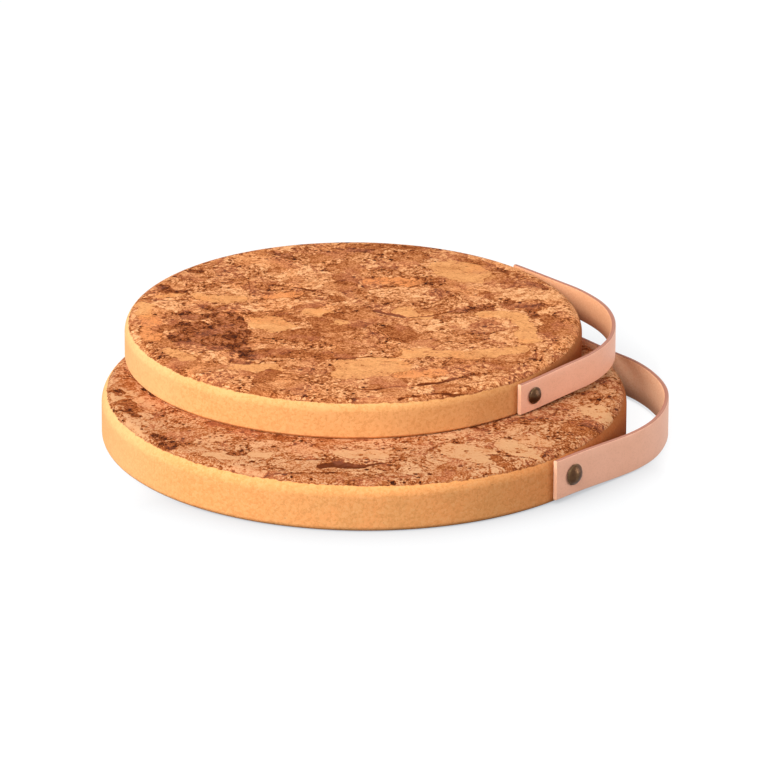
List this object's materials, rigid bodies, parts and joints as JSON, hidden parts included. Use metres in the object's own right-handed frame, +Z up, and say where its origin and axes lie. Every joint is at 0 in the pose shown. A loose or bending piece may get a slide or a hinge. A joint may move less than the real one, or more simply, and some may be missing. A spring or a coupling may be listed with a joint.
{
  "type": "trivet set",
  "caption": "Stacked pair of round cork trivets, bark-faced on both sides with rounded rims, each with a leather finger loop held on its rim by domed studs.",
  "frame": {"origin": "centre of the large trivet's underside, on the surface it lies on", "axes": "+Z up through the stack; +X from the discs towards the middle of the finger loops; +Y across them, to the side on which the small trivet sits further back"},
  "size_m": [0.2485, 0.2535, 0.0395],
  "materials": {
    "cork_core": "matt sanded fine-grain cork",
    "bark_face": "matt natural cork bark",
    "leather_strap": "vegetable-tanned, satin",
    "antique_brass": "dark antique, satin",
    "plug_wood": "plain turned hardwood"
  },
  "bodies": {
    "large_trivet": {"large_core": "cork_core", "large_top_bark": "bark_face", "large_base_bark": "bark_face", "large_front_stud": "antique_brass", "large_back_stud": "antique_brass", "large_front_plug": "plug_wood", "large_back_plug": "plug_wood"},
    "large_loop": {"large_strap": "leather_strap"},
    "small_trivet": {"small_core": "cork_core", "small_top_bark": "bark_face", "small_base_bark": "bark_face", "small_front_stud": "antique_brass", "small_back_stud": "antique_brass", "small_front_plug": "plug_wood", "small_back_plug": "plug_wood"},
    "small_loop": {"small_strap": "leather_strap"}
  },
  "joints": [
    {"name": "small_lift", "type": "slide", "parent": "large_trivet", "child": "small_trivet", "axis": [0, 0, 1], "range_m": [0, 0.08]},
    {"name": "large_loop_flex", "type": "hinge", "parent": "large_trivet", "child": "large_loop", "pos_m": [0.0887, 0, 0.011], "axis": [0, -1, 0], "range_deg": [0, 6], "deforming": ["large_strap"]},
    {"name": "small_loop_flex", "type": "hinge", "parent": "small_trivet", "child": "small_loop", "pos_m": [0.0722, 0.0375, 0.0295], "axis": [0, -1, 0], "range_deg": [0, 12], "deforming": ["small_strap"]}
  ]
}
